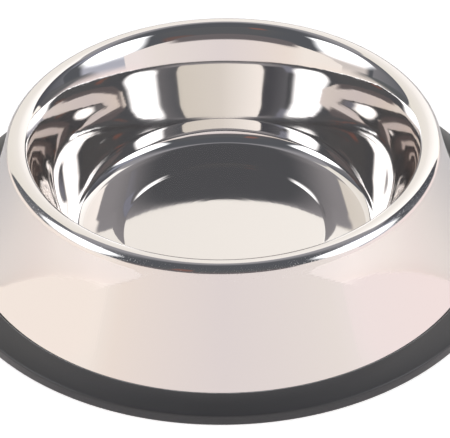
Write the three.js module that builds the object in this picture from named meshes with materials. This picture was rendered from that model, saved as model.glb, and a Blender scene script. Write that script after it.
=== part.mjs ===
// Metal pet bowl on its own skirt. One steel pressing makes the basin, the rolled lip and the
// flared skirt, and a moulded rubber ring grips the beaded foot of the skirt.
// Millimetres and degrees, +Z up, standing on z = 0 with the bowl's axis on Z.
import * as THREE from 'three';

// Steel pressing: overall
const rimRadius = 96; // outermost point of the rolled lip
const bowlHeight = 55.5; // top of the lip above the table
const sheetThickness = 0.6;

// Lip and basin, from the top of the lip down to the floor
const lipRadius = 5.9; // outer side of the roll at the rim
const lipInnerRadius = 4.8; // inner side of the same roll
const lipLean = 34.3; // lean from vertical where the roll hands over to the mouth
const mouthRadius = 37;
const mouthLean = 25.9; // lean of the mouth where it hands over to the shoulder
const shoulderRadius = 89; // from the mouth's lean to the wall's draft
const wallDraft = 16; // lean of the basin wall from vertical
const heelRadius = 34; // first, easy curve from the wall towards the floor
const heelLean = 27.7;
const cornerRadius = 6.5; // second, tighter curve into the floor
const floorHeight = 2.2; // upper face of the basin floor, where it meets the corner

// Raised middle of the floor: a low step that keeps the wide floor stiff
const stepEdge = 45; // radius of the flat middle
const stepLean = 15; // steepest slope of the step
const stepTopRadius = 4.2;
const stepFootRadius = 17.8;

// Skirt and its beaded foot
const skirtTopLean = 14.5; // lean of the skirt just under the lip
const footRadius = 117.1; // where the skirt runs into its bead
const footHeight = 4.8;
const beadRadius = 1.9; // outside of the curled edge
const beadTurn = 265;

// Rubber ring
const ringReach = 10.4; // how far the ring stands out beyond the foot, before its rounding
const ringGrip = 2.5; // how far the outer lip climbs the skirt above the foot
const ringLipEdge = 0.7; // thickness of the outer lip's edge
const ringBandHeight = 4.8; // upright band round the outside, up to the sloping face
const ringBandDraft = 0.4; // the band leans in by this much at its top
const ringCornerRadius = 1.2;
const ringFootRadius = 1; // rounding where the ring meets the table
const ringInnerWall = 2.2; // rubber on the inner side of the bead
const ringInnerGrip = 3; // how far the inner lip climbs above the foot
const ringClearance = 0.3; // rubber to steel, all round the channel

// Facets
const facetsRound = 72;

// Directions that a surface can face, as angles in the section
const upwards = 90;
const inwards = 180;

const radians = THREE.MathUtils.degToRad;
const degrees = THREE.MathUtils.radToDeg;

// A station on a section: where it is, and the angle of its outward normal.
function station(r, z, normal) {
  return { r, z, normal };
}

function offset(at, distance) {
  const a = radians(at.normal);
  return station(at.r + distance * Math.cos(a), at.z + distance * Math.sin(a), at.normal);
}

// Arc of stations round a centre. A negative radius is a hollow curve, with its centre outside.
function arc(centre, radius, fromNormal, toNormal, steps) {
  const stations = [];
  for (let i = 0; i <= steps; i += 1) {
    const normal = fromNormal + ((toNormal - fromNormal) * i) / steps;
    stations.push(offset(station(centre.r, centre.z, normal), radius));
  }
  return stations;
}

function centreOf(start, radius) {
  return offset(start, -radius);
}

// Carries a section on from a station by a tangent arc, without repeating that station.
function bend(start, radius, toNormal, steps) {
  return arc(centreOf(start, radius), radius, start.normal, toNormal, steps).slice(1);
}

// Carries a section straight on towards the axis side.
function straight(start, length) {
  const a = radians(start.normal);
  return station(start.r - length * Math.sin(a), start.z + length * Math.cos(a), start.normal);
}

const last = (stations) => stations[stations.length - 1];

const lipTop = station(rimRadius - lipRadius, bowlHeight, upwards);

// Inside of the bowl, from the top of the lip down to the middle of the floor.
function basinFace() {
  const stations = bend(lipTop, lipInnerRadius, inwards - lipLean, 4);
  stations.push(...bend(last(stations), mouthRadius, inwards - mouthLean, 2));
  stations.push(...bend(last(stations), shoulderRadius, inwards - wallDraft, 3));
  const rise = (radius, fromLean, toLean) => (
    radius * (Math.sin(radians(toLean)) - Math.sin(radians(fromLean)))
  );
  const heelRise = rise(heelRadius, wallDraft, heelLean);
  const cornerRise = rise(cornerRadius, heelLean, upwards);
  const wallDrop = last(stations).z - floorHeight - heelRise - cornerRise;
  stations.push(straight(last(stations), wallDrop / Math.cos(radians(wallDraft))));
  stations.push(...bend(last(stations), -heelRadius, inwards - heelLean, 2));
  stations.push(...bend(last(stations), -cornerRadius, upwards, 4));
  const stepRun = (stepTopRadius + stepFootRadius) * Math.sin(radians(stepLean));
  stations.push(station(stepEdge + stepRun, floorHeight, upwards));
  stations.push(...bend(last(stations), -stepFootRadius, upwards - stepLean, 2));
  stations.push(...bend(last(stations), stepTopRadius, upwards, 1));
  stations.push(station(0, last(stations).z, upwards));
  return stations;
}

// The skirt is one hollow arc that leaves the lip at skirtTopLean and lands on the foot.
const skirtStart = last(bend(lipTop, lipRadius, skirtTopLean, 1));
const skirtRun = footRadius - skirtStart.r;
const skirtDrop = skirtStart.z - footHeight;
const skirtFootLean = 2 * degrees(Math.atan2(skirtRun, skirtDrop)) - skirtTopLean;
const skirtRadius = -Math.hypot(skirtRun, skirtDrop)
  / (2 * Math.sin(radians((skirtFootLean - skirtTopLean) / 2)));
const skirtCentre = centreOf(skirtStart, skirtRadius);
const foot = station(footRadius, footHeight, skirtFootLean);
const beadCentre = centreOf(foot, beadRadius);

// Outside of the bowl, from the top of the lip down to the end of the bead.
function skirtFace() {
  const stations = bend(lipTop, lipRadius, skirtTopLean, 5);
  stations.push(...bend(last(stations), skirtRadius, skirtFootLean, 4));
  stations.push(...bend(last(stations), beadRadius, skirtFootLean - beadTurn, 8));
  return stations;
}

// Both faces of the sheet, as one outline that starts and ends on the axis.
function steelOutline() {
  const face = [...basinFace().reverse(), lipTop, ...skirtFace()];
  const back = face.map((at) => offset(at, -sheetThickness)).reverse();
  return [...face, ...back];
}

// Stations that follow the skirt at a distance from its outer face, between two heights.
function alongSkirt(distance, fromHeight, toHeight, steps) {
  const radius = skirtRadius + distance;
  const normalAt = (height) => degrees(Math.asin((height - skirtCentre.z) / radius));
  return arc(skirtCentre, radius, normalAt(fromHeight), normalAt(toHeight), steps);
}

// Rounds the corner of an outline with an arc that is tangent to both of its sides.
function rounded(before, corner, after, radius, steps) {
  const c = new THREE.Vector2(corner.r, corner.z);
  const a = new THREE.Vector2(before.r, before.z).sub(c).normalize();
  const b = new THREE.Vector2(after.r, after.z).sub(c).normalize();
  const half = Math.acos(a.dot(b)) / 2;
  const centre = a.clone().add(b).normalize().multiplyScalar(radius / Math.sin(half)).add(c);
  const start = a.clone().multiplyScalar(radius / Math.tan(half)).add(c).sub(centre);
  const turn = (Math.PI - 2 * half) * Math.sign(a.cross(b));
  const points = [];
  for (let i = 0; i <= steps; i += 1) {
    const spoke = start.clone().rotateAround(new THREE.Vector2(), (-turn * i) / steps);
    points.push({ r: centre.x + spoke.x, z: centre.y + spoke.y });
  }
  return points;
}

// Section of the rubber ring: a wedge outside, with a channel inside that holds the bead.
function ringOutline() {
  const outerFace = alongSkirt(ringClearance, footHeight, footHeight + ringGrip, 2);
  const innerDistance = -sheetThickness - ringClearance;
  const innerTop = footHeight + ringInnerGrip;
  const channelRadius = beadRadius + ringClearance;
  const mouthHalfAngle = degrees(Math.acos((beadRadius + innerDistance) / channelRadius));
  const channel = arc(
    beadCentre,
    channelRadius,
    skirtFootLean + mouthHalfAngle - 360,
    skirtFootLean,
    8,
  );
  const innerFace = alongSkirt(innerDistance, innerTop, channel[0].z + ringClearance, 2);

  const ringRadius = footRadius + ringReach;
  const lipEdge = offset(last(outerFace), ringLipEdge);
  const bandTop = { r: ringRadius - ringBandDraft, z: ringBandHeight };
  const bandFoot = { r: ringRadius, z: 0 };
  const innerRadius = beadCentre.r - channelRadius - ringInnerWall;
  const innerFoot = { r: innerRadius, z: 0 };
  const innerEdge = { r: innerRadius, z: innerTop };
  return [
    lipEdge,
    ...rounded(lipEdge, bandTop, bandFoot, ringCornerRadius, 3),
    ...rounded(bandTop, bandFoot, innerFoot, ringFootRadius, 3),
    ...rounded(bandFoot, innerFoot, innerEdge, ringFootRadius, 2),
    innerEdge,
    ...innerFace,
    ...channel,
    ...outerFace.slice(1),
    lipEdge,
  ];
}

// Spins an outline about Z. The outlines run clockwise, seen with the axis on their left, and a
// lathe wants them the other way round for its faces to point out.
function spun(name, outline, material) {
  const points = outline.map((at) => new THREE.Vector2(Math.max(at.r, 0), at.z)).reverse();
  const geometry = new THREE.LatheGeometry(points, facetsRound);
  geometry.rotateX(Math.PI / 2);
  const mesh = new THREE.Mesh(geometry, material);
  mesh.name = name;
  return mesh;
}

const polishedSteel = new THREE.MeshStandardMaterial({
  color: 0xd6d2ce,
  metalness: 1,
  roughness: 0.06,
});
const mouldedRubber = new THREE.MeshStandardMaterial({
  color: 0x3b3b3d,
  metalness: 0,
  roughness: 0.7,
});

const petBowl = new THREE.Group();
petBowl.add(spun('steel_bowl', steelOutline(), polishedSteel));
petBowl.add(spun('rubber_ring', ringOutline(), mouldedRubber));

export default petBowl;
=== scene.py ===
import math

import bpy
from mathutils import Matrix, Vector


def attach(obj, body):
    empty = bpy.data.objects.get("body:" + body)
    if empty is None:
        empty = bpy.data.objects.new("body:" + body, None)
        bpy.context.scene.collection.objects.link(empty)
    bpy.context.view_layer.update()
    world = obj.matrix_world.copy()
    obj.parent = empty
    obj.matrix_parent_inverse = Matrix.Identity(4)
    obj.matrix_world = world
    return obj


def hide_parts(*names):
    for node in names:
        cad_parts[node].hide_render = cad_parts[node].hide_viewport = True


# Metal pet bowl: a mirror-polished steel pressing on a moulded rubber ring.
# Metres, +Z up, standing on z = 0 with the bowl's axis on Z.

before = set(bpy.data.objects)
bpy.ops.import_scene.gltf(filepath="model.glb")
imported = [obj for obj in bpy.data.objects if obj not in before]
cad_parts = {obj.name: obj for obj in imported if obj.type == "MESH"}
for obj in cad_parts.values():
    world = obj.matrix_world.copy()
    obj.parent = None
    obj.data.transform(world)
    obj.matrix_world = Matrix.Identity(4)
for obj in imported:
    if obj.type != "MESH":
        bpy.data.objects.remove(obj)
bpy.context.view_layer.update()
scene = bpy.context.scene
mm = 0.001
weldDistance = 0.02 * mm  # points nearer than this become one

# Directions that a surface can face, as angles in the section
upwards = 90
inwards = 180
fullTurn = 360


# Small tools

def hexColour(text):
    # sRGB hex to the linear colour that shaders work in
    channels = [int(text[i:i + 2], 16) / 255 for i in (1, 3, 5)]
    linear = [c / 12.92 if c <= 0.04045 else ((c + 0.055) / 1.055) ** 2.4 for c in channels]
    return (*linear, 1.0)


def addNode(tree, kind, settings=None, inputs=None):
    # Adds a node, sets its properties, then links or fills its inputs by name or number
    node = tree.nodes.new(kind)
    for name, value in (settings or {}).items():
        setattr(node, name, value)
    for name, value in (inputs or {}).items():
        if isinstance(value, bpy.types.NodeSocket):
            tree.links.new(value, node.inputs[name])
        else:
            node.inputs[name].default_value = value
    return node


def newMaterial(name):
    material = bpy.data.materials.new(name)
    material.use_nodes = True
    material.node_tree.nodes.clear()
    return material, material.node_tree


# Sections, as runs of tangent arcs. A station is a radius, a height and the angle of the outward normal.

def offset(station, distance):
    r, z, normal = station
    a = math.radians(normal)
    return (r + distance * math.cos(a), z + distance * math.sin(a), normal)


def arc(centre, radius, fromNormal, toNormal, steps):
    normals = [fromNormal + (toNormal - fromNormal) * i / steps for i in range(steps + 1)]
    return [offset((centre[0], centre[1], n), radius) for n in normals]


def bend(start, radius, toNormal, steps):
    # Carries the section on from a station by a tangent arc; a negative radius is a hollow curve
    return arc(offset(start, -radius), radius, start[2], toNormal, steps)[1:]


def straight(start, length):
    a = math.radians(start[2])
    return (start[0] - length * math.sin(a), start[1] + length * math.cos(a), start[2])


# Steel bowl. Leans and the draft are degrees from vertical.

bowl = {
    "rimRadius": 96 * mm,
    "height": 55.5 * mm,
    "sheet": 0.6 * mm,
    "lipRadius": 5.9 * mm,
    "lipInnerRadius": 4.8 * mm,
    "lipLean": 34.3,
    "mouthRadius": 37 * mm,
    "mouthLean": 25.9,
    "shoulderRadius": 89 * mm,
    "wallDraft": 16,
    "heelRadius": 34 * mm,
    "heelLean": 27.7,
    "cornerRadius": 6.5 * mm,
    "floorHeight": 2.2 * mm,
    "stepEdge": 45 * mm,
    "stepLean": 15,
    "stepTopRadius": 4.2 * mm,
    "stepFootRadius": 17.8 * mm,
    "skirtTopLean": 14.5,
    "footRadius": 117.1 * mm,
    "footHeight": 4.8 * mm,
    "beadRadius": 1.9 * mm,
    "beadTurn": 265,
    # Steps along each arc of the section, and round the axis
    "steps": {
        "lipInside": 20, "mouth": 10, "shoulder": 18, "heel": 12, "corner": 20,
        "stepFoot": 10, "stepTop": 6, "floor": 5, "lipOutside": 18, "skirt": 24, "bead": 20,
    },
    "stepsRound": 288,
    "colour": "#e8e4e1",
    # Roughness where the polish is at its best and where it has gone duller, in patches of this size
    "roughness": (0.03, 0.065),
    "patchSize": 33.333 * mm,
    "patchRange": (0.35, 0.7),
    # The slow ripple that the press and the buffing leave
    "rippleSize": 26.316 * mm,
    "rippleDepth": 2 * mm,
    "rippleStrength": 0.03,
    # Rings from the lathe, drawn as coarse as they need to be to show: real ones are finer
    "ringSpacing": 1.4286 * mm,
    "ringDepth": 0.15 * mm,
    "ringStrength": 0.03,
    # Scuffs on the outside of the lip, coarser than real ones so that they show. They set in between
    # the two heights and the two radii.
    "scuffSize": 0.45455 * mm,
    "scuffRange": (0.62, 0.68),
    "scuffRoughness": 0.25,
    "scuffHeights": (48 * mm, 50 * mm),
    "scuffRadii": (92 * mm, 93 * mm),
}


def rise(radius, fromLean, toLean):
    # Height that an arc gains between two leans from vertical
    return radius * (math.sin(math.radians(toLean)) - math.sin(math.radians(fromLean)))


def lipTopOf(b):
    return (b["rimRadius"] - b["lipRadius"], b["height"], upwards)


def basinFace(b):
    steps = b["steps"]
    face = bend(lipTopOf(b), b["lipInnerRadius"], inwards - b["lipLean"], steps["lipInside"])
    face += bend(face[-1], b["mouthRadius"], inwards - b["mouthLean"], steps["mouth"])
    face += bend(face[-1], b["shoulderRadius"], inwards - b["wallDraft"], steps["shoulder"])
    heelRise = rise(b["heelRadius"], b["wallDraft"], b["heelLean"])
    cornerRise = rise(b["cornerRadius"], b["heelLean"], upwards)
    wallDrop = face[-1][1] - b["floorHeight"] - heelRise - cornerRise
    face.append(straight(face[-1], wallDrop / math.cos(math.radians(b["wallDraft"]))))
    face += bend(face[-1], -b["heelRadius"], inwards - b["heelLean"], steps["heel"])
    face += bend(face[-1], -b["cornerRadius"], upwards, steps["corner"])
    # A low step raises the middle of the floor
    stepRun = (b["stepTopRadius"] + b["stepFootRadius"]) * math.sin(math.radians(b["stepLean"]))
    face.append((b["stepEdge"] + stepRun, b["floorHeight"], upwards))
    face += bend(face[-1], -b["stepFootRadius"], upwards - b["stepLean"], steps["stepFoot"])
    face += bend(face[-1], b["stepTopRadius"], upwards, steps["stepTop"])
    middle, count = face[-1][1], steps["floor"]
    face += [(b["stepEdge"] * (1 - i / count), middle, upwards) for i in range(1, count + 1)]
    return face


def skirtCurve(b):
    # The skirt is one hollow arc from the lip to the foot: its start, radius and lean at the foot
    start = bend(lipTopOf(b), b["lipRadius"], b["skirtTopLean"], 1)[-1]
    run, drop = b["footRadius"] - start[0], start[1] - b["footHeight"]
    footLean = 2 * math.degrees(math.atan2(run, drop)) - b["skirtTopLean"]
    radius = -math.hypot(run, drop) / (2 * math.sin(math.radians((footLean - b["skirtTopLean"]) / 2)))
    return start, radius, footLean


def skirtFace(b):
    steps = b["steps"]
    start, radius, footLean = skirtCurve(b)
    face = bend(lipTopOf(b), b["lipRadius"], b["skirtTopLean"], steps["lipOutside"])
    face += bend(face[-1], radius, footLean, steps["skirt"])
    face += bend(face[-1], b["beadRadius"], footLean - b["beadTurn"], steps["bead"])
    return face


def steelSection(b):
    # Both faces of the sheet, as one outline that starts and ends on the axis
    face = basinFace(b)[::-1] + [lipTopOf(b)] + skirtFace(b)
    back = [offset(station, -b["sheet"]) for station in face][::-1]
    return face + back


def polishedSteel(b):
    # Stainless steel sheet, drawn, spun and buffed to a mirror: near-white metal with a warm cast.
    # Buffing leaves a slow ripple that bends reflections a little, fine rings round the axis from the
    # lathe, hair-fine scuffs where the lip gets knocked, and patches where the polish has gone duller.
    material, tree = newMaterial("buffedStainless")
    place = addNode(tree, "ShaderNodeTexCoord").outputs["Object"]
    sides = addNode(tree, "ShaderNodeSeparateXYZ", None, {0: place}).outputs
    flat = addNode(tree, "ShaderNodeCombineXYZ", None, {0: sides["X"], 1: sides["Y"]})
    radius = addNode(tree, "ShaderNodeVectorMath", {"operation": "LENGTH"}, {0: flat.outputs[0]})
    section = addNode(tree, "ShaderNodeCombineXYZ", None, {0: radius.outputs["Value"], 2: sides["Z"]})

    ripple = addNode(tree, "ShaderNodeTexNoise", None, {
        "Vector": place, "Scale": 1 / b["rippleSize"], "Detail": 1.5, "Roughness": 0.4,
    })
    rippled = addNode(tree, "ShaderNodeBump", None, {
        "Height": ripple.outputs[0], "Strength": b["rippleStrength"], "Distance": b["rippleDepth"],
    })
    rings = addNode(tree, "ShaderNodeTexNoise", None, {
        "Vector": section.outputs[0], "Scale": 1 / b["ringSpacing"], "Detail": 2.0, "Roughness": 0.5,
    })
    turned = addNode(tree, "ShaderNodeBump", None, {
        "Height": rings.outputs[0], "Strength": b["ringStrength"], "Distance": b["ringDepth"],
        "Normal": rippled.outputs[0],
    })

    patches = addNode(tree, "ShaderNodeTexNoise", None, {
        "Vector": place, "Scale": 1 / b["patchSize"], "Detail": 3.0,
    })
    dull = addNode(tree, "ShaderNodeMapRange", None, {
        "Value": patches.outputs[0], "From Min": b["patchRange"][0], "From Max": b["patchRange"][1],
        "To Min": b["roughness"][0], "To Max": b["roughness"][1],
    })

    scuffs = addNode(tree, "ShaderNodeTexNoise", None, {
        "Vector": place, "Scale": 1 / b["scuffSize"], "Detail": 1.0,
    })
    marked = addNode(tree, "ShaderNodeMapRange", None, {
        "Value": scuffs.outputs[0], "From Min": b["scuffRange"][0], "From Max": b["scuffRange"][1],
        "To Max": b["scuffRoughness"],
    })
    nearTop = addNode(tree, "ShaderNodeMapRange", None, {
        "Value": sides["Z"], "From Min": b["scuffHeights"][0], "From Max": b["scuffHeights"][1],
    })
    outside = addNode(tree, "ShaderNodeMapRange", None, {
        "Value": radius.outputs["Value"], "From Min": b["scuffRadii"][0], "From Max": b["scuffRadii"][1],
    })
    onLip = addNode(tree, "ShaderNodeMath", {"operation": "MULTIPLY"},
                    {0: nearTop.outputs[0], 1: outside.outputs[0]})
    worn = addNode(tree, "ShaderNodeMath", {"operation": "MULTIPLY_ADD"},
                   {0: marked.outputs[0], 1: onLip.outputs[0], 2: dull.outputs[0]})

    shader = addNode(tree, "ShaderNodeBsdfPrincipled", None, {
        "Base Color": hexColour(b["colour"]),
        "Metallic": 1.0,
        "Roughness": worn.outputs[0],
        "Normal": turned.outputs[0],
    })
    addNode(tree, "ShaderNodeOutputMaterial", None, {"Surface": shader.outputs[0]})
    return material


# Rubber ring

ring = {
    "reach": 10.4 * mm,
    "grip": 2.5 * mm,
    "lipEdge": 0.7 * mm,
    "bandHeight": 4.8 * mm,
    "bandDraft": 0.4 * mm,
    "cornerRadius": 1.2 * mm,
    "footRadius": 1.0 * mm,
    "innerWall": 2.2 * mm,
    "innerGrip": 3.0 * mm,
    "clearance": 0.3 * mm,
    # Steps along each curve of the section, and round the axis
    "steps": {"outerFace": 6, "channel": 28, "innerFace": 4, "bandTop": 8, "bandFoot": 6, "innerFoot": 5},
    "stepsRound": 288,
    "colour": "#323234",
    "roughness": 0.4,
    # The mould's grain, drawn as coarse as it needs to be to show: real grain is finer
    "grainSize": 0.66667 * mm,
    "grainDepth": 0.2 * mm,
    "grainStrength": 0.15,
    # Handled rubber scatters light at its edges
    "sheen": 1.0,
    "sheenRoughness": 0.4,
}


def rounded(before, corner, after, radius, steps):
    # Rounds a corner of an outline with an arc that is tangent to both of its sides
    c = Vector(corner[:2])
    a = (Vector(before[:2]) - c).normalized()
    b = (Vector(after[:2]) - c).normalized()
    half = a.angle(b) / 2
    centre = c + (a + b).normalized() * (radius / math.sin(half))
    spoke = c + a * (radius / math.tan(half)) - centre
    turn = (math.pi - 2 * half) * (1 if a.x * b.y - a.y * b.x > 0 else -1)
    points = []
    for i in range(steps + 1):
        p = centre + Matrix.Rotation(-turn * i / steps, 2) @ spoke
        points.append((p.x, p.y))
    return points


def alongSkirt(centre, radius, fromHeight, toHeight, steps):
    angles = [math.degrees(math.asin((h - centre[1]) / radius)) for h in (fromHeight, toHeight)]
    return arc(centre, radius, *angles, steps)


def ringSection(g, b):
    # A wedge outside, with a channel inside that holds the bowl's bead
    steps = g["steps"]
    start, skirtRadius, footLean = skirtCurve(b)
    skirtCentre = offset(start, -skirtRadius)
    beadCentre = offset((b["footRadius"], b["footHeight"], footLean), -b["beadRadius"])
    channelRadius = b["beadRadius"] + g["clearance"]
    innerDistance = -b["sheet"] - g["clearance"]
    innerTop = b["footHeight"] + g["innerGrip"]
    mouthHalfAngle = math.degrees(math.acos((b["beadRadius"] + innerDistance) / channelRadius))
    outerFace = alongSkirt(skirtCentre, skirtRadius + g["clearance"], b["footHeight"],
                           b["footHeight"] + g["grip"], steps["outerFace"])
    channel = arc(beadCentre, channelRadius, footLean + mouthHalfAngle - fullTurn, footLean,
                  steps["channel"])
    innerFace = alongSkirt(skirtCentre, skirtRadius + innerDistance, innerTop,
                           channel[0][1] + g["clearance"], steps["innerFace"])
    lipEdge = offset(outerFace[-1], g["lipEdge"])
    ringRadius = b["footRadius"] + g["reach"]
    bandTop = (ringRadius - g["bandDraft"], g["bandHeight"])
    bandFoot = (ringRadius, 0)
    innerRadius = beadCentre[0] - channelRadius - g["innerWall"]
    innerFoot = (innerRadius, 0)
    innerEdge = (innerRadius, innerTop)
    outline = [lipEdge]
    outline += rounded(lipEdge, bandTop, bandFoot, g["cornerRadius"], steps["bandTop"])
    outline += rounded(bandTop, bandFoot, innerFoot, g["footRadius"], steps["bandFoot"])
    outline += rounded(bandFoot, innerFoot, innerEdge, g["footRadius"], steps["innerFoot"])
    outline += [innerEdge] + innerFace + channel + outerFace[1:] + [lipEdge]
    return outline


def mouldedRubber(g):
    # Natural rubber moulding, matt dark grey, with the fine grain of its mould
    material, tree = newMaterial("mouldedRubber")
    place = addNode(tree, "ShaderNodeTexCoord").outputs["Object"]
    grain = addNode(tree, "ShaderNodeTexNoise", None, {
        "Vector": place, "Scale": 1 / g["grainSize"], "Detail": 2.0,
    })
    grained = addNode(tree, "ShaderNodeBump", None, {
        "Height": grain.outputs[0], "Strength": g["grainStrength"], "Distance": g["grainDepth"],
    })
    shader = addNode(tree, "ShaderNodeBsdfPrincipled", None, {
        "Base Color": hexColour(g["colour"]),
        "Roughness": g["roughness"],
        "IOR": 1.52,
        "Sheen Weight": g["sheen"],
        "Sheen Roughness": g["sheenRoughness"],
        "Normal": grained.outputs[0],
    })
    addNode(tree, "ShaderNodeOutputMaterial", None, {"Surface": shader.outputs[0]})
    return material


# One tree spins any section: a grid of section points by steps round, each column turned to its angle

def revolveTree():
    tree = bpy.data.node_groups.new("revolveSection", "GeometryNodeTree")
    tree.interface.new_socket("Geometry", in_out="INPUT", socket_type="NodeSocketGeometry")
    tree.interface.new_socket("Steps Round", in_out="INPUT", socket_type="NodeSocketInt")
    tree.interface.new_socket("Weld Distance", in_out="INPUT", socket_type="NodeSocketFloat")
    tree.interface.new_socket("Material", in_out="INPUT", socket_type="NodeSocketMaterial")
    tree.interface.new_socket("Geometry", in_out="OUTPUT", socket_type="NodeSocketGeometry")
    given = addNode(tree, "NodeGroupInput").outputs
    size = addNode(tree, "GeometryNodeAttributeDomainSize", {"component": "MESH"}, {0: given["Geometry"]})
    rows = size.outputs["Point Count"]
    # One column more than the steps, so that the last lies on the first and is welded to it
    columns = addNode(tree, "ShaderNodeMath", {"operation": "ADD"}, {0: given["Steps Round"], 1: 1.0})
    grid = addNode(tree, "GeometryNodeMeshGrid", None, {"Vertices X": columns.outputs[0], "Vertices Y": rows})
    index = addNode(tree, "GeometryNodeInputIndex").outputs[0]
    row = addNode(tree, "ShaderNodeMath", {"operation": "MODULO"}, {0: index, 1: rows})
    column = addNode(tree, "ShaderNodeMath", {"operation": "DIVIDE"}, {0: index, 1: rows})
    wholeColumn = addNode(tree, "ShaderNodeMath", {"operation": "FLOOR"}, {0: column.outputs[0]})
    turn = addNode(tree, "ShaderNodeMath", {"operation": "DIVIDE"},
                   {0: wholeColumn.outputs[0], 1: given["Steps Round"]})
    angle = addNode(tree, "ShaderNodeMath", {"operation": "MULTIPLY"}, {0: turn.outputs[0], 1: 2 * math.pi})
    position = addNode(tree, "GeometryNodeInputPosition").outputs[0]
    sample = addNode(tree, "GeometryNodeSampleIndex", {"data_type": "FLOAT_VECTOR", "domain": "POINT"},
                     {"Geometry": given["Geometry"], "Index": row.outputs[0]})
    tree.links.new(position, sample.inputs["Value"])
    spin = addNode(tree, "ShaderNodeVectorRotate", {"rotation_type": "Z_AXIS"},
                   {"Vector": sample.outputs["Value"], "Angle": angle.outputs[0]})
    placed = addNode(tree, "GeometryNodeSetPosition", None,
                     {"Geometry": grid.outputs["Mesh"], "Position": spin.outputs[0]})
    welded = addNode(tree, "GeometryNodeMergeByDistance", None,
                     {"Geometry": placed.outputs[0], "Distance": given["Weld Distance"]})
    smooth = addNode(tree, "GeometryNodeSetShadeSmooth", None, {"Geometry": welded.outputs[0]})
    real = addNode(tree, "GeometryNodeRealizeInstances", None, {"Geometry": smooth.outputs[0]})
    dressed = addNode(tree, "GeometryNodeSetMaterial", None,
                      {"Geometry": real.outputs[0], "Material": given["Material"]})
    addNode(tree, "NodeGroupOutput", None, {"Geometry": dressed.outputs[0]})
    return tree


def spun(name, section, stepsRound, material, tree):
    # Makes a piece from its section, and leaves a plain mesh with its faces out
    line = bpy.data.meshes.new(name + "Section")
    edges = [(i, i + 1) for i in range(len(section) - 1)]
    line.from_pydata([(p[0], 0, p[1]) for p in section], edges, [])
    holder = bpy.data.objects.new(name + "Holder", line)
    scene.collection.objects.link(holder)
    modifier = holder.modifiers.new("revolve", "NODES")
    modifier.node_group = tree
    given = {"Steps Round": stepsRound, "Weld Distance": weldDistance, "Material": material}
    for socket in tree.interface.items_tree:
        if socket.in_out == "INPUT" and socket.name in given:
            modifier[socket.identifier] = given[socket.name]
    evaluated = holder.evaluated_get(bpy.context.evaluated_depsgraph_get())
    mesh = bpy.data.meshes.new_from_object(evaluated)
    bpy.data.objects.remove(holder)
    piece = bpy.data.objects.new(name, mesh)
    scene.collection.objects.link(piece)
    outward = sum(p.area * p.normal.dot(p.center) for p in mesh.polygons)
    if outward < 0:
        mesh.flip_normals()
    print(name, len(mesh.polygons), "faces")
    return piece


# Pieces

revolve = revolveTree()
steelBowl = spun("steelBowl", steelSection(bowl), bowl["stepsRound"], polishedSteel(bowl), revolve)
rubberRing = spun("rubberRing", ringSection(ring, bowl), ring["stepsRound"], mouldedRubber(ring), revolve)
for piece, node, slotName in (
    (steelBowl, "steel_bowl", "polished_steel"),
    (rubberRing, "rubber_ring", "moulded_rubber"),
):
    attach(piece, "root")
    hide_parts(node)
print("pieces made")


# Camera at the photograph's angle, aimed a little below the rim. The focal length is in pixels of an
# image of this width, and the angles are in degrees.

view = {
    "focalPixels": 2200,
    "imageWidth": 450,
    "sensor": 36,
    "elevation": 35.67,
    "distance": 0.9618,
    "tilt": 37.93,
    "yaw": 0.02,
    "roll": -0.80,
}


def makeCamera(v):
    data = bpy.data.cameras.new("photoCamera")
    data.sensor_width = v["sensor"]
    data.lens = v["focalPixels"] / v["imageWidth"] * v["sensor"]
    camera = bpy.data.objects.new("photoCamera", data)
    scene.collection.objects.link(camera)
    e = math.radians(v["elevation"])
    camera.location = (0, -v["distance"] * math.cos(e), bowl["height"] + v["distance"] * math.sin(e))
    yaw = Matrix.Rotation(-math.radians(v["yaw"]), 4, "Z")
    tilt = Matrix.Rotation(math.radians(90 - v["tilt"]), 4, "X")  # 90 looks level
    roll = Matrix.Rotation(math.radians(v["roll"]), 4, "Z")
    camera.rotation_euler = (yaw @ tilt @ roll).to_euler()
    scene.camera = camera


makeCamera(view)


# Stage: a pale table, a warm backdrop behind, a softbox on each side, low cards close round the bowl,
# and a dim room

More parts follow.
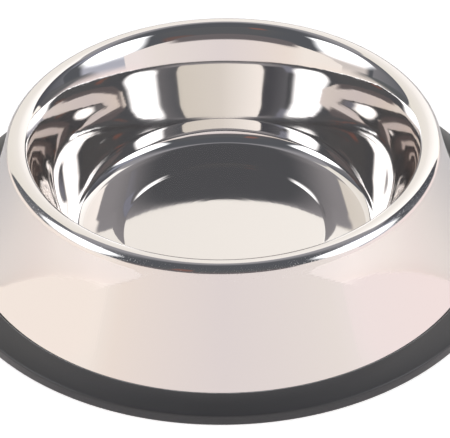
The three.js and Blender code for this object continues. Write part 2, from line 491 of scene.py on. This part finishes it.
studio = {
    "tableHalf": 6.0,
    "tableWhite": "#f0eeec",
    # Painted light and shade on the table that only the steel sees, from the camera's side round to the back,
    # as tones at positions, darker towards the back
    "tablePaintedLightAndShade": (
        (0, "#cbc5c9"), (0.11, "#c5bbbc"), (0.206, "#eaddda"), (0.33, "#e4d7d0"), (0.42, "#d4c2bc"),
        (0.5, "#c5b8b1"), (0.6, "#a29a9a"), (0.71, "#7c767c"), (0.88, "#626266"),
    ),
    # Strength of the painted light and shade that the steel sees on the table
    "tableLift": 0.5,
    # White added to what the camera sees of the table, and how far out it grows to full white
    "whiteLift": 0.65,
    "whiteFrom": 0.8,
    "whiteBy": 2.5,
    "roomColour": "#5e6167",
    "maxBounces": 16,
    "glossyBounces": 12,
    # Sky panels, from the farthest to the nearest, with a face every few degrees. Azimuth 0 is behind
    # the bowl and 90 is to its right. Tones run from a panel's left edge to its right edge, and power
    # and soft shape its faded outline.
    "panelStep": 5,
    "panels": {
        "ceiling": {"azimuths": (-115, 115), "elevations": (26, 80), "distance": 3.5,
                    "tones": ((0, "#a2a2a8"),), "power": 2.5, "soft": 0.5},
        "darkFront": {"azimuths": (132, 228), "elevations": (22, 66), "distance": 3.45,
                      "tones": ((0, "#636569"),), "power": 3, "soft": 0.4},
        # Dark gaps between the backdrop and the softboxes
        "postLeft": {"azimuths": (-86, -48), "elevations": (-2, 54), "distance": 3.4,
                     "tones": ((0, "#8a8a8f"), (1, "#5c6169")), "power": 10, "soft": 0.08},
        "postRight": {"azimuths": (44, 80), "elevations": (-2, 52), "distance": 3.35,
                      "tones": ((0, "#50525a"), (0.5, "#5d5f66"), (1, "#76787f")), "power": 10, "soft": 0.08},
        "postRightEdge": {"azimuths": (75, 90), "elevations": (34, 62), "distance": 3.3,
                          "tones": ((0, "#9599a9"),), "power": 6, "soft": 0.3},
        "backdrop": {"azimuths": (-55, 50), "elevations": (-40, 57), "distance": 3.2,
                     "tones": ((0, "#d7d4cd"), (0.5, "#dfdcd8"), (0.8, "#f2f0ee"), (1, "#fffcfa")),
                     "strength": 1.42, "power": 20, "soft": 0.03},
        # Pale strips under the softboxes, and the dark below them at table height
        "underLeft": {"azimuths": (-126, -87), "elevations": (3, 20), "distance": 3.05,
                      "tones": ((0, "#e2dbd8"),), "power": 6, "soft": 0.25},
        "underRight": {"azimuths": (90, 128), "elevations": (3, 21), "distance": 3.05,
                       "tones": ((0, "#c0c3d1"),), "power": 6, "soft": 0.25},
        "lowDarkLeft": {"azimuths": (-106, -50), "elevations": (-8, 10), "distance": 3.0,
                        "tones": ((0, "#65696c"),), "power": 3, "soft": 0.3},
        "lowDarkRight": {"azimuths": (52, 108), "elevations": (-8, 12), "distance": 3.0,
                         "tones": ((0, "#626367"), (1, "#7c7d80")), "power": 3, "soft": 0.3},
        # The backdrop spreads to the right where it meets the table
        "backdropFoot": {"azimuths": (38, 58), "elevations": (-12, 8), "distance": 2.95,
                         "tones": ((0, "#fff9f2"),), "strength": 1.3, "power": 6, "soft": 0.15},
        # A hint of warm room light on both sides of the camera
        "warmLeft": {"azimuths": (-163, -149), "elevations": (38, 58), "distance": 2.9,
                     "tones": ((0, "#8c6a64"),), "power": 3, "soft": 0.5},
        "warmRight": {"azimuths": (142, 168), "elevations": (22, 31), "distance": 2.9,
                      "tones": ((0, "#75625f"),), "power": 3, "soft": 0.5},
        "softboxLeft": {"azimuths": (-125, -77), "elevations": (14, 58), "distance": 1.05,
                        "tones": ((0, "#f6faff"),), "strength": 2.8, "power": 3, "soft": 0.4},
        "softboxRight": {"azimuths": (84.5, 136), "elevations": (15, 59), "distance": 0.9,
                         "tones": ((0, "#f6faff"),), "strength": 2.8, "power": 3, "soft": 0.4},
    },
    # Upright cards: the two ends on the table, the height of the foot, the height of the top at each
    # end, and tones from the first end to the other
    "cards": {
        "frontCard": {"ends": ((-1.15, -0.3), (0.56, -0.3)), "foot": 0, "heights": (0.232, 0.232),
                      "tones": ((0, "#fff8f3"), (0.44, "#fff8f2"), (0.52, "#f8ede6"), (0.67, "#ece4e5"),
                                (0.82, "#f4edea"), (0.91, "#faf2f2")),
                      "strength": 1.08, "power": 60, "soft": 0.01},
        "cardTop": {"ends": ((-0.36, -0.298), (0.22, -0.298)), "foot": 0.18, "heights": (0.26, 0.26),
                    "tones": ((0, "#757073"),), "power": 5, "soft": 0.25},
        "sideCardLeft": {"ends": ((-0.34, -0.38), (-0.34, 0.3)), "foot": -0.03, "heights": (0.14, 0.08),
                         "tones": ((0, "#fff5ee"),), "strength": 1.11, "power": 4, "soft": 0.45},
        "sideCardRight": {"ends": ((0.34, -0.38), (0.34, 0.3)), "foot": -0.03, "heights": (0.14, 0.08),
                          "tones": ((0, "#faf0f1"), (0.5, "#fef0f0")),
                          "strength": 1.1, "power": 4, "soft": 0.45},
    },
}


def toneRun(tree, along, tones):
    # A colour that changes along a panel or round the table, through tones at positions from 0 to 1
    run = addNode(tree, "ShaderNodeValToRGB", None, {"Fac": along})
    stops = run.color_ramp.elements
    stops.remove(stops[1])
    for i, (position, text) in enumerate(tones):
        stop = stops.new(position) if i else stops[0]
        stop.position, stop.color = position, hexColour(text)
    return run.outputs[0]


def glow(name, p):
    # A soft light inside a rounded outline that fades at its edge. Its plain strength is 1, which is white.
    material, tree = newMaterial(name)
    place = addNode(tree, "ShaderNodeTexCoord").outputs["UV"]
    across = addNode(tree, "ShaderNodeSeparateXYZ", None, {0: place}).outputs["X"]
    light = addNode(tree, "ShaderNodeEmission", None,
                    {"Color": toneRun(tree, across, p["tones"]), "Strength": p.get("strength", 1.0)})
    centred = addNode(tree, "ShaderNodeVectorMath", {"operation": "MULTIPLY_ADD"},
                      {0: place, 1: (2.0, 2.0, 0.0), 2: (-1.0, -1.0, 0.0)})
    reach = addNode(tree, "ShaderNodeVectorMath", {"operation": "ABSOLUTE"}, {0: centred.outputs[0]})
    sides = addNode(tree, "ShaderNodeSeparateXYZ", None, {0: reach.outputs[0]}).outputs
    powers = [addNode(tree, "ShaderNodeMath", {"operation": "POWER"}, {0: sides[axis], 1: p["power"]})
              for axis in ("X", "Y")]
    both = addNode(tree, "ShaderNodeMath", {"operation": "ADD"},
                   {0: powers[0].outputs[0], 1: powers[1].outputs[0]})
    edge = addNode(tree, "ShaderNodeMath", {"operation": "POWER"}, {0: both.outputs[0], 1: 1 / p["power"]})
    cover = addNode(tree, "ShaderNodeMapRange", {"interpolation_type": "SMOOTHSTEP"}, {
        "Value": edge.outputs[0], "From Min": 1 - p["soft"], "From Max": 1.0,
        "To Min": 1.0, "To Max": 0.0,
    })
    clear = addNode(tree, "ShaderNodeBsdfTransparent")
    shader = addNode(tree, "ShaderNodeMixShader", None,
                     {0: cover.outputs[0], 1: clear.outputs[0], 2: light.outputs[0]})
    addNode(tree, "ShaderNodeOutputMaterial", None, {"Surface": shader.outputs[0]})
    return material


def onStage(name, mesh, material):
    mesh.materials.append(material)
    thing = bpy.data.objects.new(name, mesh)
    scene.collection.objects.link(thing)
    return thing


def gridMesh(name, columns, rows, placeAt):
    # A sheet of faces whose UV map runs from 0 to 1 both ways
    steps = [(i / columns, j / rows) for j in range(rows + 1) for i in range(columns + 1)]
    faces = []
    for j in range(rows):
        for i in range(columns):
            k = j * (columns + 1) + i
            faces.append((k, k + 1, k + columns + 2, k + columns + 1))
    mesh = bpy.data.meshes.new(name)
    mesh.from_pydata([placeAt(u, v) for u, v in steps], [], faces)
    layer = mesh.uv_layers.new(name="UVMap")
    for loop in mesh.loops:
        layer.data[loop.index].uv = steps[loop.vertex_index]
    return mesh


def skyPanel(name, p, step):
    # A curved panel at one distance all over, so that its edges keep their directions
    (west, east), (low, high) = p["azimuths"], p["elevations"]

    def placeAt(u, v):
        a, e = math.radians(west + (east - west) * u), math.radians(low + (high - low) * v)
        return Vector((math.sin(a) * math.cos(e), math.cos(a) * math.cos(e), math.sin(e))) * p["distance"]

    columns, rows = (max(1, round(span / step)) for span in (east - west, high - low))
    panel = onStage(name, gridMesh(name, columns, rows, placeAt), glow(name, p))
    panel.visible_camera = False


def uprightCard(name, p):
    start, end = (Vector(corner) for corner in p["ends"])

    def placeAt(u, v):
        height = p["heights"][0] * (1 - u) + p["heights"][1] * u
        return (*start.lerp(end, u), p["foot"] * (1 - v) + height * v)

    card = onStage(name, gridMesh(name, 1, 1, placeAt), glow(name, p))
    card.visible_camera = False


def makeTable(s):
    # White to the camera, pale with painted light and shade in the steel, and still a diffuse surface that
    # takes the bowl's shadow
    material, tree = newMaterial("paleTable")
    path = addNode(tree, "ShaderNodeLightPath").outputs
    place = addNode(tree, "ShaderNodeTexCoord").outputs["Object"]
    paint = addNode(tree, "ShaderNodeBsdfDiffuse", None, {"Color": hexColour(s["tableWhite"])})

    # In the steel: painted light and shade that change with the bearing, 0 on the camera's side and 1 at the
    # back
    bearing = addNode(tree, "ShaderNodeVectorMath", {"operation": "NORMALIZE"}, {0: place})
    back = addNode(tree, "ShaderNodeSeparateXYZ", None, {0: bearing.outputs[0]}).outputs["Y"]
    turned = addNode(tree, "ShaderNodeMath", {"operation": "MULTIPLY_ADD"}, {0: back, 1: 0.5, 2: 0.5})
    tones = toneRun(tree, turned.outputs[0], s["tablePaintedLightAndShade"])
    mirrored = addNode(tree, "ShaderNodeMath", {"operation": "MULTIPLY"},
                       {0: path["Is Glossy Ray"], 1: s["tableLift"]})
    paintedLightAndShade = addNode(tree, "ShaderNodeEmission", None, {"Color": tones, "Strength": mirrored.outputs[0]})

    # To the camera: white, and whiter far out where less light lands
    direct = addNode(tree, "ShaderNodeMath", {"operation": "MAXIMUM"},
                     {0: path["Is Camera Ray"], 1: path["Is Transmission Ray"]})
    far = addNode(tree, "ShaderNodeVectorMath", {"operation": "LENGTH"}, {0: place})
    whiteness = addNode(tree, "ShaderNodeMapRange", None, {
        "Value": far.outputs["Value"], "From Min": s["whiteFrom"], "From Max": s["whiteBy"],
        "To Min": s["whiteLift"], "To Max": 1.0,
    })
    lifted = addNode(tree, "ShaderNodeMath", {"operation": "MULTIPLY"},
                     {0: direct.outputs[0], 1: whiteness.outputs[0]})
    lift = addNode(tree, "ShaderNodeEmission", None,
                   {"Color": hexColour("#ffffff"), "Strength": lifted.outputs[0]})

    both = addNode(tree, "ShaderNodeAddShader", None, {0: paintedLightAndShade.outputs[0], 1: lift.outputs[0]})
    whole = addNode(tree, "ShaderNodeAddShader", None, {0: paint.outputs[0], 1: both.outputs[0]})
    addNode(tree, "ShaderNodeOutputMaterial", None, {"Surface": whole.outputs[0]})

    def placeAt(u, v):
        return (s["tableHalf"] * (2 * u - 1), s["tableHalf"] * (2 * v - 1), 0)

    onStage("table", gridMesh("table", 1, 1, placeAt), material)


def makeWorld(s):
    # White to the camera, and a dim room to everything else
    world = bpy.data.worlds.new("studio")
    scene.world = world
    world.use_nodes = True
    tree = world.node_tree
    tree.nodes.clear()
    path = addNode(tree, "ShaderNodeLightPath").outputs
    room = addNode(tree, "ShaderNodeBackground", None, {"Color": hexColour(s["roomColour"])})
    white = addNode(tree, "ShaderNodeBackground", None, {"Color": hexColour("#ffffff")})
    mixed = addNode(tree, "ShaderNodeMixShader", None,
                    {0: path["Is Camera Ray"], 1: room.outputs[0], 2: white.outputs[0]})
    addNode(tree, "ShaderNodeOutputWorld", None, {"Surface": mixed.outputs[0]})


makeTable(studio)
makeWorld(studio)
for panelName, panelPlan in studio["panels"].items():
    skyPanel(panelName, panelPlan, studio["panelStep"])
for cardName, cardPlan in studio["cards"].items():
    uprightCard(cardName, cardPlan)

scene.view_settings.view_transform = "Standard"
scene.cycles.max_bounces = studio["maxBounces"]
scene.cycles.glossy_bounces = studio["glossyBounces"]
print("stage set")
